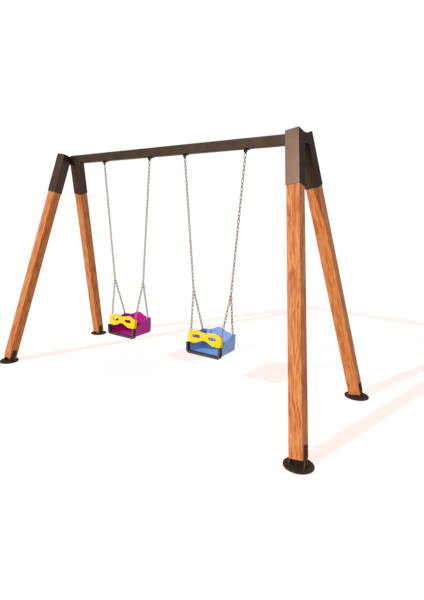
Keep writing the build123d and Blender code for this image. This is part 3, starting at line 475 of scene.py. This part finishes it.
def cut_out(target, cutters, kind="DIFFERENCE"):
    """Cut or join meshes with the exact solver, and leave the result in a new bmesh."""
    base = bpy.data.meshes.new("work")
    target.to_mesh(base)
    target.free()
    work = bpy.data.objects.new("work", base)
    bpy.context.scene.collection.objects.link(work)
    tools = []
    for cutter in cutters:
        data = bpy.data.meshes.new("tool")
        cutter.to_mesh(data)
        cutter.free()
        tool = bpy.data.objects.new("tool", data)
        bpy.context.scene.collection.objects.link(tool)
        step = work.modifiers.new("cut", "BOOLEAN")
        step.operation = kind
        step.solver = "EXACT"
        step.object = tool
        tools.append(tool)
    bpy.context.view_layer.update()
    made = bpy.data.meshes.new_from_object(work.evaluated_get(bpy.context.evaluated_depsgraph_get()))
    result = bmesh.new()
    result.from_mesh(made)
    for scrap in (work, *tools):
        data = scrap.data
        bpy.data.objects.remove(scrap)
        bpy.data.meshes.remove(data)
    bpy.data.meshes.remove(made)
    bmesh.ops.remove_doubles(result, verts=result.verts, dist=0.00002)
    bmesh.ops.dissolve_limit(
        result, angle_limit=FLAT, verts=result.verts, edges=result.edges, use_dissolve_boundaries=False
    )
    return result


def ease(t):
    """A soft step from 0 to 1."""
    t = min(1.0, max(0.0, t))
    return (1 - cos(pi * t)) / 2


# ---------------------------------------------------------------- pieces


def rim_height(x, y):
    """Height of the bucket's rim over its floor: low behind the guard, with a hump in the back."""
    look = bpy.context.scene.swing_seats
    side = RIM_STEP_RISE + (RIM_FRONT_RISE - RIM_STEP_RISE) * ease((y - RIM_STEP_Y) / RIM_STEP_RUN)
    start = ease((RIM_STEP_Y - RIM_CLIMB_START) / RIM_CLIMB_RUN)
    climb = max(0.0, ease((y - RIM_CLIMB_START) / RIM_CLIMB_RUN) - start) / (1 - start)
    side += (look.rim_rise - RIM_FRONT_RISE) * climb
    if y < SHELL_BACK - SHELL_ROUND:
        return side
    hump = (look.hump_rise - look.rim_rise) * ease(1 - abs(x) / HUMP_HALF) ** HUMP_POWER
    return side + hump


def bucket_mesh():
    """An open box, rounded at the heel and the back corners, with its top drawn to the rim."""
    mesh = box_mesh(
        (-SHELL_HALF, SHELL_FRONT, SHELL_FLOOR), (SHELL_HALF, SHELL_BACK, SHELL_FLOOR + SHELL_TOP)
    )
    open_faces = [f for f in mesh.faces if f.normal.z > 0.9 or f.normal.y < -0.9]
    bmesh.ops.delete(mesh, geom=open_faces, context="FACES")
    rounded = [e for e in mesh.edges if len(e.link_faces) == 2]
    bevel(mesh, rounded, SHELL_ROUND, 6)
    base = SHELL_FLOOR + HEEL_RISE
    cuts = [((x * WALL_COLUMN, 0, 0), (1, 0, 0)) for x in range(-10, 11)]
    cuts += [((0, RIM_STEP_Y + y * RIM_STEP_RUN / 5, 0), (0, 1, 0)) for y in range(0, 6)]
    cuts += [((0, RIM_STEP_Y + y * WALL_ROW, 0), (0, 1, 0)) for y in range(1, 19)]
    cuts += [((0, 0, base + z * WALL_COURSE), (0, 0, 1)) for z in range(0, 7)]
    for point, normal in cuts:
        geom = mesh.verts[:] + mesh.edges[:] + mesh.faces[:]
        bmesh.ops.bisect_plane(mesh, geom=geom, plane_co=point, plane_no=normal, dist=0.0001)
    for vert in mesh.verts:
        if vert.co.z > base:
            share = (vert.co.z - base) / (SHELL_TOP - HEEL_RISE)
            vert.co.z = base + share * (rim_height(vert.co.x, vert.co.y) - HEEL_RISE)
        tighten_corner(vert, ease((vert.co.z - base) / CORNER_BLEND))
    return mesh


def tighten_corner(vert, share):
    """Draw a point of a rear upright corner out from the wide round to the narrow one."""
    sign = 1 if vert.co.x > 0 else -1
    wide = Vector((SHELL_HALF - SHELL_ROUND, SHELL_BACK - SHELL_ROUND))
    narrow = Vector((SHELL_HALF - SHELL_REAR_ROUND, SHELL_BACK - SHELL_REAR_ROUND))
    out = Vector((sign * vert.co.x, vert.co.y)) - wide
    if min(out) < -0.00001 or share <= 0:
        return
    target = narrow + out.normalized() * SHELL_REAR_ROUND
    x, y = (wide + out).lerp(target, share)
    vert.co.x, vert.co.y = sign * x, y


def add_bucket(side, material):
    mesh = bucket_mesh()
    move_to(mesh, Matrix.Translation((SWING_X[side], 0, 0)))
    piece = finish_piece(
        f"{side}_bucket", mesh, [material], f"{side}_seat", [f"{side}_seat_shell"]
    )
    wall = piece.modifiers.new("wall", "SOLIDIFY")
    wall.thickness = SHELL_WALL
    wall.offset = -1
    wall.use_even_offset = True
    edge = piece.modifiers.new("rim", "BEVEL")
    edge.limit_method = "ANGLE"
    edge.angle_limit = radians(50)
    edge.width = 0.0026
    edge.segments = 3
    return piece


def bumper_mesh():
    """A rounded rubber section run along a U."""
    mesh = bmesh.new()
    bmesh.ops.create_grid(mesh, x_segments=1, y_segments=1, size=0.5)
    depth = BUMPER_BACK - BUMPER_FRONT
    bmesh.ops.scale(mesh, vec=(BUMPER_WIDTH, depth, 1), verts=mesh.verts)
    bmesh.ops.bevel(
        mesh, geom=mesh.verts[:], offset=BUMPER_ROUND, offset_type="OFFSET", segments=4, profile=0.5,
        affect="VERTICES", material=-1, clamp_overlap=True
    )
    middle = SHELL_HALF - SHELL_WALL / 2
    corner = SHELL_ROUND - SHELL_WALL / 2
    low = SHELL_FLOOR + SHELL_WALL / 2
    centre_y = (BUMPER_FRONT + BUMPER_BACK) / 2
    start = BUMPER_TOP
    bmesh.ops.translate(mesh, vec=(-middle, centre_y, start), verts=mesh.verts)
    face = mesh.faces[:][0]

    def push(face, offset):
        made = bmesh.ops.extrude_face_region(mesh, geom=[face])["geom"]
        bmesh.ops.translate(mesh, vec=offset, verts=[g for g in made if isinstance(g, bmesh.types.BMVert)])
        return next(g for g in made if isinstance(g, bmesh.types.BMFace))

    def turn(face, centre):
        geom = [face, *face.edges, *face.verts]
        made = bmesh.ops.spin(
            mesh, geom=geom, cent=centre, axis=(0, -1, 0), dvec=(0, 0, 0), angle=pi / 2, steps=8,
            use_duplicate=False
        )["geom_last"]
        return next(g for g in made if isinstance(g, bmesh.types.BMFace))

    face = push(face, (0, 0, low + corner - start))
    face = turn(face, (-middle + corner, centre_y, low + corner))
    face = push(face, (2 * (middle - corner), 0, 0))
    face = turn(face, (middle - corner, centre_y, low + corner))
    face = push(face, (0, 0, start - low - corner))
    for vert in mesh.verts:
        if vert.co.z > start - 0.001:
            vert.co.z -= (vert.co.y - CHAIN_FOOT.y) * tan(GUARD_TILT)
    bmesh.ops.recalc_face_normals(mesh, faces=mesh.faces)
    # Painted shade: every face except the front-facing ones gets the second, near-black rubber, so the sides
    # and inner lip look shaded.
    for side_face in mesh.faces:
        side_face.material_index = int(side_face.normal.y > -0.3)
    return mesh


def add_bumper(side, materials):
    mesh = bumper_mesh()
    move_to(mesh, Matrix.Translation((SWING_X[side], 0, 0)))
    return finish_piece(
        f"{side}_bumper", mesh, materials, f"{side}_seat", [f"{side}_seat_bumper"], round_mm=2.5
    )


def quarter_drop(x, half, radius):
    """How far a quarter round falls off towards an end."""
    reach = abs(x) - (half - radius)
    return 0.0 if reach <= 0 else radius - sqrt(max(0.0, radius**2 - reach**2))


def guard_top(x):
    far = abs(x)
    drop = quarter_drop(x, GUARD_HALF_TOP, GUARD_CORNER)
    if far < GUARD_LOBE_X:
        return GUARD_WAIST + (GUARD_LOBE - GUARD_WAIST) * ease(far / GUARD_LOBE_X)
    fall = (far - GUARD_LOBE_X) / (GUARD_HALF_TOP - GUARD_LOBE_X)
    return GUARD_LOBE - (GUARD_LOBE - GUARD_END) * ease(fall) - drop


def guard_bottom(x):
    rise = GUARD_NOTCH * (1 - ease(abs(x) / GUARD_NOTCH_X)) ** GUARD_NOTCH_POWER
    return rise + quarter_drop(x, GUARD_HALF_FOOT, GUARD_CORNER)


def guard_panel_mesh():
    """The lobed panel: a grid strip drawn to its outline and thickened, its front rounded at the ends."""
    mesh = bmesh.new()
    bmesh.ops.create_grid(mesh, x_segments=GUARD_COLUMNS, y_segments=1, size=0.5)
    for vert in mesh.verts:
        high = vert.co.y > 0
        half = GUARD_HALF_TOP if high else GUARD_HALF_FOOT
        x = half * sin(pi * vert.co.x)
        y = quarter_drop(x, half, GUARD_END_ROUND)
        vert.co = (x, y, guard_top(x) if high else guard_bottom(x))
    made = bmesh.ops.extrude_face_region(mesh, geom=mesh.faces[:])["geom"]
    for vert in (g for g in made if isinstance(g, bmesh.types.BMVert)):
        vert.co.y = GUARD_PANEL
    bmesh.ops.recalc_face_normals(mesh, faces=mesh.faces)
    bmesh.ops.dissolve_limit(
        mesh, angle_limit=FLAT, verts=mesh.verts, edges=mesh.edges, use_dissolve_boundaries=False
    )
    return mesh


def slot_cutter(hand):
    """A stadium-shaped plug for a hand slot."""
    mesh = bmesh.new()
    bmesh.ops.create_cone(
        mesh, cap_ends=True, segments=32, radius1=SLOT_HEIGHT / 2, radius2=SLOT_HEIGHT / 2, depth=0.1
    )
    bmesh.ops.rotate(mesh, cent=(0, 0, 0), matrix=Matrix.Rotation(pi / 2, 3, "X"), verts=mesh.verts)
    reach = (SLOT_LENGTH - SLOT_HEIGHT) / 2
    for sign in HANDS:
        half = [v for v in mesh.verts if v.co.x * sign > 0.0001]
        bmesh.ops.translate(mesh, vec=(sign * reach, 0, 0), verts=half)
    bmesh.ops.translate(mesh, vec=(hand * SLOT_X, 0, SLOT_RISE), verts=mesh.verts)
    return mesh


def sleeve_mesh(hand):
    """The block behind an end of the guard, that the chain runs through."""
    low, high = sorted((hand * GUARD_HALF_TOP, hand * SLEEVE_INNER))
    mesh = box_mesh((low, GUARD_PANEL - 0.001, 0.0), (high, GUARD_DEPTH, GUARD_END))
    for vert in mesh.verts:
        at_top = vert.co.z > GUARD_END / 2
        if abs(vert.co.x) > 0.16:
            vert.co.x = hand * ((GUARD_HALF_TOP if at_top else GUARD_HALF_FOOT) - 0.0003)
        elif at_top:
            vert.co.x += hand * SLEEVE_LEAN * GUARD_END
        vert.co.z += -0.0005 if at_top else 0.0003
    uprights = [e for e in mesh.edges if abs(e.verts[0].co.z - e.verts[1].co.z) > 0.05]
    rear = [e for e in uprights if e.verts[0].co.y > GUARD_DEPTH / 2]
    bevel(mesh, rear, 0.007, 4)
    return mesh


def guard_frame():
    """Turns the guard's own flat layout into its place in front of a seat at mid-span."""
    return Matrix.Translation(GUARD_ORIGIN) @ Matrix.Rotation(-GUARD_TILT, 4, "X")


def chain_cutter(hand):
    """A leaning square plug round a front chain, in the guard's own layout."""
    top, foot = CHAIN_TOP.copy(), CHAIN_FOOT.copy()
    top.x *= hand
    foot.x *= hand
    rise = (top - foot).normalized()
    across = (Vector((1, 0, 0)) - rise * rise.x).normalized()
    turned = Matrix((across, rise.cross(across), rise)).transposed().to_4x4()
    width, depth = SLEEVE_HOLE
    mesh = box_mesh((-width / 2, -depth / 2, -0.25), (width / 2, depth / 2, 0.25))
    bevel(mesh, [e for e in mesh.edges if abs(e.verts[0].co.z - e.verts[1].co.z) > 0.1], 0.006, 5)
    centre = foot + Vector((hand * SLEEVE_SHIFT, 0, 0))
    move_to(mesh, guard_frame().inverted() @ Matrix.Translation(centre) @ turned)
    return mesh


def shade_slot_walls(mesh):
    """Paint shade on the walls of the hand slots by giving them the second, near-black finish."""
    for face in mesh.faces:
        centre = face.calc_center_median()
        beside = abs(abs(centre.x) - SLOT_X) < SLOT_LENGTH / 2 + 0.001
        level = abs(centre.z - SLOT_RISE) < SLOT_HEIGHT / 2 + 0.001
        face.material_index = int(beside and level and abs(face.normal.y) < 0.3)


def add_guard(side, materials):
    panel = cut_out(guard_panel_mesh(), [sleeve_mesh(hand) for hand in HANDS], "UNION")
    mesh = cut_out(panel, [slot_cutter(hand) for hand in HANDS] + [chain_cutter(hand) for hand in HANDS])
    shade_slot_walls(mesh)
    move_to(mesh, Matrix.Translation((SWING_X[side], 0, 0)) @ guard_frame())
    return finish_piece(
        f"{side}_guard_bar", mesh, materials, f"{side}_guard_bar", [f"{side}_guard"], round_mm=2.2
    )


# ---------------------------------------------------------------- operators


class SWINGSET_OT_timber(bpy.types.Operator):
    """Stain the four posts, with the grain along each one"""

    bl_idname = "swingset.timber"
    bl_label = "Timber posts"

    def execute(self, context):
        for row, sy in (("front", -1), ("rear", 1)):
            for side, sx in (("left", -1), ("right", 1)):
                lean = Vector((-sx * LEG_RUN_X, -sy * FOOT_Y, LEG_RISE)).normalized()
                turn = lean.rotation_difference(Vector((0, 0, 1))).to_euler()
                foot = Vector((sx * FOOT_X, sy * FOOT_Y, 0))
                foot.rotate(turn)
                # The pith lies outside the section, so the rings cross each face as long tongues.
                pith = Vector((0.07 * sx, 0.045 * sy, 0.4 * sx + 0.7 * sy))
                material = stained_spruce(f"stained_spruce_{row}_{side}", turn, pith - foot)
                dress([f"post_{row}_{side}"], material)
        return {"FINISHED"}


class SWINGSET_OT_steelwork(bpy.types.Operator):
    """Powder-coat the heads, the beam, the hangers and the feet with their bolts"""

    bl_idname = "swingset.steelwork"
    bl_label = "Painted steelwork"

    def execute(self, context):
        high = ("socket_front", "socket_rear", "head_block", "top_beam", "beam_spigot")
        names = [n for n in NODES if n.startswith(high) or n.endswith(("_hangers", "_swing_eyes"))]
        dress(names, powder_coat("powder_coated_steel", 0.66, 0.3))
        # Grit and shoes dull the coat near the ground.
        low = ("foot_disc", "foot_fork", "foot_bolts", "foot_nuts")
        feet = [n for n in NODES if n.startswith(low)]
        dress(feet, powder_coat("dusty_powder_coated_steel", 0.35, 0.52))
        return {"FINISHED"}


class SWINGSET_OT_fixings(bpy.types.Operator):
    """Plate the screws, bolts, pins and rivets, and blacken the bushes"""

    bl_idname = "swingset.fixings"
    bl_label = "Fixings and bushes"

    def execute(self, context):
        ends = ("_screws", "_eye_bolts", "_pins", "_clips", "_rivets")
        dress([n for n in NODES if n.endswith(ends)], zinc_plate())
        dress([n for n in NODES if n.endswith("_bushes")], polymer_bush())
        return {"FINISHED"}


class SWINGSET_OT_chains(bpy.types.Operator):
    """Galvanise the chains, their joining rings and the eyes they hang in"""

    bl_idname = "swingset.chains"
    bl_label = "Chains"

    def execute(self, context):
        names = [n for n in NODES if "chain" in n or n.endswith(("_rear_eyes", "_core_bar"))]
        dress(names, galvanised_chain())
        return {"FINISHED"}


class SWINGSET_OT_buckets(bpy.types.Operator):
    """Mould the two bucket seats"""

    bl_idname = "swingset.buckets"
    bl_label = "Bucket seats"

    def execute(self, context):
        look = context.scene.swing_seats
        add_bucket("left", moulded_plastic("purple_polyethylene", look.left))
        add_bucket("right", moulded_plastic("blue_polyethylene", look.right))
        return {"FINISHED"}


class SWINGSET_OT_bumpers(bpy.types.Operator):
    """Mould the rubber bumpers round the front edges"""

    bl_idname = "swingset.bumpers"
    bl_label = "Rubber bumpers"

    def execute(self, context):
        look = context.scene.swing_seats
        front = moulded_rubber("moulded_rubber", look.bumper)
        # A shaded copy of the same rubber: the second finish paints shade on the bumpers' sides and inner
        # lip.
        sides = moulded_rubber("painted_shade_rubber", look.painted_shade_tone)
        for side in SWING_X:
            add_bumper(side, [front, sides])
        return {"FINISHED"}


class SWINGSET_OT_guards(bpy.types.Operator):
    """Mould the lobed guards that slide on the front chains"""

    bl_idname = "swingset.guards"
    bl_label = "Lift-up guards"

    def execute(self, context):
        look = context.scene.swing_seats
        yellow = moulded_plastic("yellow_polyethylene", look.guard, 0.36)
        # Painted shade: the walls of the hand slots get near-black rubber, as if in shade.
        slot_wall_shading = moulded_rubber("painted_slot_wall_shade", look.painted_shade_tone)
        for side in SWING_X:
            add_guard(side, [yellow, slot_wall_shading])
        return {"FINISHED"}


class SWINGSET_OT_stage(bpy.types.Operator):
    """Lay a pale floor and set the soft studio light and the camera"""

    bl_idname = "swingset.stage"
    bl_label = "Floor, light and camera"

    def execute(self, context):
        look = context.scene.swing_stage
        scene = context.scene
        mesh = bmesh.new()
        bmesh.ops.create_grid(mesh, x_segments=1, y_segments=1, size=FLOOR_HALF)
        data = bpy.data.meshes.new("floor")
        mesh.to_mesh(data)
        mesh.free()
        floor = bpy.data.objects.new("floor", data)
        scene.collection.objects.link(floor)
        data.materials.append(pale_floor(look))

        lamp = bpy.data.lights.new("key", "SUN")
        lamp.energy = look.key
        lamp.angle = KEY_SPREAD
        lamp.color = KEY_TINT
        key = bpy.data.objects.new("key", lamp)
        key.rotation_euler = KEY_DIRECTION.to_track_quat("-Z", "Y").to_euler()
        scene.collection.objects.link(key)

        world = bpy.data.worlds.new("studio")
        world.use_nodes = True
        tree = world.node_tree
        tree.nodes.clear()
        dim = node(tree, "ShaderNodeBackground", None, {"Color": SKY_TINT, "Strength": look.sky})
        white = node(tree, "ShaderNodeBackground", None, {"Color": (1, 1, 1, 1), "Strength": 1.0})
        mix = node(
            tree, "ShaderNodeMixShader", {0: seen_plainly(tree), 1: dim.outputs[0], 2: white.outputs[0]}
        )
        node(tree, "ShaderNodeOutputWorld", {"Surface": mix.outputs[0]})
        scene.world = world

        lens = bpy.data.cameras.new("view")
        lens.sensor_width = 36
        lens.lens = VIEW_LENS
        lens.shift_x, lens.shift_y = VIEW_SHIFT
        lens.clip_end = 100
        camera = bpy.data.objects.new("view", lens)
        camera.location = VIEW_PLACE
        camera.rotation_euler = VIEW_TURN
        scene.collection.objects.link(camera)
        scene.camera = camera
        scene.view_settings.view_transform = "Standard"
        return {"FINISHED"}


def seen_plainly(tree):
    """1 for a ray from the camera, or one that a mirror or glass passes on."""
    path = node(tree, "ShaderNodeLightPath").outputs
    direct = node(
        tree, "ShaderNodeMath", {0: path["Is Camera Ray"], 1: path["Is Glossy Ray"]}, operation="MAXIMUM"
    ).outputs[0]
    return node(
        tree, "ShaderNodeMath", {0: direct, 1: path["Is Transmission Ray"]}, operation="MAXIMUM"
    ).outputs[0]


def pale_floor(look):
    """Smooth white studio floor: seen as near white, with a faint warm shadow of what stands on it."""
    material, tree = blank("pale_floor")
    lit = node(tree, "ShaderNodeBsdfDiffuse", None, {"Color": (*look.floor, 1)})
    # Light that reaches the floor tops the warm glow up to white, so that a shadow stays peach.
    glow = node(tree, "ShaderNodeEmission", None, {"Color": (*look.shadow, 1), "Strength": 1.0})
    rest = tuple((FLOOR_WHITE - c) / look.reach for c in look.shadow)
    fill = node(tree, "ShaderNodeBsdfDiffuse", None, {"Color": (*rest, 1)})
    white = node(tree, "ShaderNodeAddShader", {0: glow.outputs[0], 1: fill.outputs[0]})
    mix = node(tree, "ShaderNodeMixShader", {0: seen_plainly(tree), 1: lit.outputs[0], 2: white.outputs[0]})
    node(tree, "ShaderNodeOutputMaterial", {"Surface": mix.outputs[0]})
    return material


class SWINGSET_PT_panel(bpy.types.Panel):
    """Lists the swing set's operators and settings"""

    bl_idname = "SWINGSET_PT_panel"
    bl_label = "Swing Set"
    bl_space_type = "VIEW_3D"
    bl_region_type = "UI"
    bl_category = "Swing Set"

    def draw(self, context):
        layout = self.layout
        for operator in OPERATORS:
            layout.operator(operator.bl_idname)
        for key in GROUPS:
            box = layout.box()
            group = getattr(context.scene, key)
            for name in group.__annotations__:
                box.prop(group, name)


GROUPS = {
    "swing_timber": SWINGSET_PG_timber,
    "swing_steel": SWINGSET_PG_steel,
    "swing_seats": SWINGSET_PG_seats,
    "swing_stage": SWINGSET_PG_stage,
}
OPERATORS = (
    SWINGSET_OT_timber,
    SWINGSET_OT_steelwork,
    SWINGSET_OT_fixings,
    SWINGSET_OT_chains,
    SWINGSET_OT_buckets,
    SWINGSET_OT_bumpers,
    SWINGSET_OT_guards,
    SWINGSET_OT_stage,
)
CLASSES = (*GROUPS.values(), *OPERATORS, SWINGSET_PT_panel)


def register():
    for cls in CLASSES:
        bpy.utils.register_class(cls)
    for key, group in GROUPS.items():
        setattr(bpy.types.Scene, key, PointerProperty(type=group))


def unregister():
    for key in GROUPS:
        delattr(bpy.types.Scene, key)
    for cls in reversed(CLASSES):
        bpy.utils.unregister_class(cls)


def main():
    register()
    for operator in OPERATORS:
        group, name = operator.bl_idname.split(".")
        getattr(getattr(bpy.ops, group), name)()


if __name__ == "__main__":
    main()
